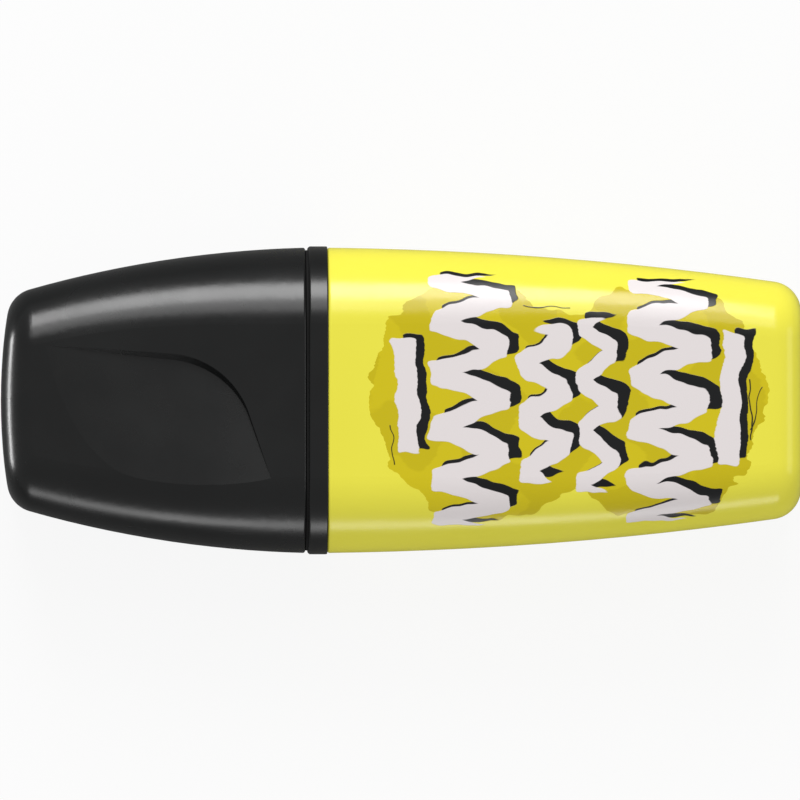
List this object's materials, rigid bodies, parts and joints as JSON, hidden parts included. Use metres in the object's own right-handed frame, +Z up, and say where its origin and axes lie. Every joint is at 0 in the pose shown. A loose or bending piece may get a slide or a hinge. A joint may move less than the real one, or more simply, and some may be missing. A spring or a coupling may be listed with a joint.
{
  "type": "highlighter",
  "caption": "Flat pocket highlighter: yellow tapered barrel, black collar and pull-off cap with thumb scoops, felt chisel nib and fibre ink reservoir inside.",
  "frame": {"origin": "middle of the bounding box's bottom, under the closed pen as it lies on a broad face", "axes": "+X along the pen from the cap's end to the barrel's end, +Y across the broad faces, +Z up through the thickness"},
  "size_m": [0.0726, 0.028, 0.0175],
  "materials": {
    "yellow_pp": "satin",
    "black_pp": "satin",
    "felt_nib": "matte",
    "ink_fibre": "matte",
    "clear_film": "gloss",
    "liner_pe": "satin"
  },
  "bodies": {
    "pen": {"barrel": "yellow_pp", "front_section": "black_pp", "nib": "felt_nib", "reservoir_core": "ink_fibre", "reservoir_film": "clear_film"},
    "cap": {"cap_shell": "black_pp", "cap_liner": "liner_pe"}
  },
  "joints": [
    {"name": "cap_pull", "type": "slide", "parent": "pen", "child": "cap", "axis": [-1, 0, 0], "range_m": [0, 0.04]}
  ]
}
